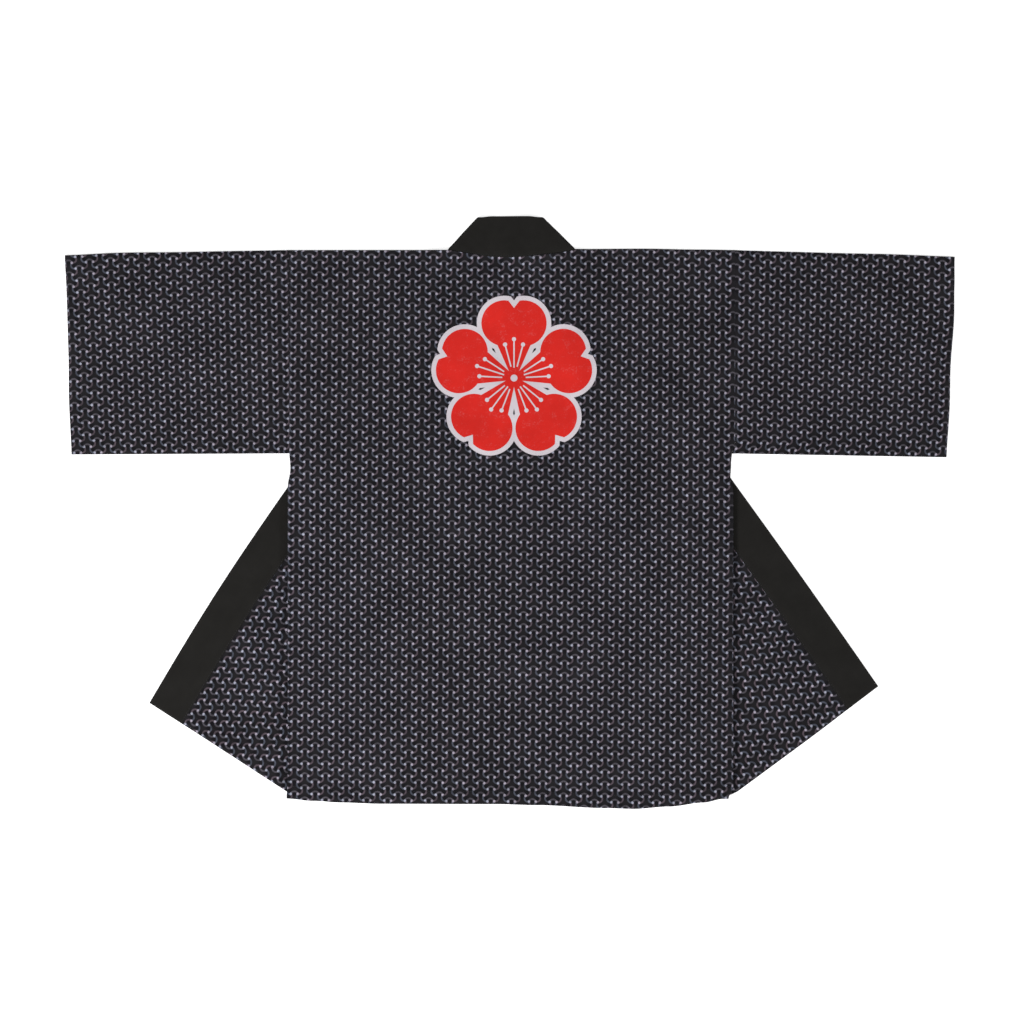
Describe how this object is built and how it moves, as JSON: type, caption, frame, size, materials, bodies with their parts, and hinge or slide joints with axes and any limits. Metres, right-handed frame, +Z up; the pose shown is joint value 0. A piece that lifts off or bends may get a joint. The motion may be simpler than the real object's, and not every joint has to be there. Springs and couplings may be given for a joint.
{
  "type": "happi coat",
  "caption": "Short open-fronted cotton festival coat with straight sleeves and a black collar band, laid flat with its back up.",
  "frame": {"origin": "middle of the coat's bounding box, on the surface that it lies on", "axes": "+X toward the wearer's right sleeve, +Y toward the collar, +Z up, out of the coat's back"},
  "size_m": [1.2816, 0.8526, 0.0054],
  "materials": {
    "printed_cotton": "matt plain-woven cotton, black ground printed with a small grey chain lattice",
    "black_cotton": "matt black cotton, folded double and pressed"
  },
  "bodies": {
    "root": {"back": "printed_cotton", "front_left": "printed_cotton", "front_right": "printed_cotton", "sleeve_left": "printed_cotton", "sleeve_right": "printed_cotton", "collar_neck": "black_cotton", "collar_left": "black_cotton", "collar_right": "black_cotton"}
  },
  "joints": []
}
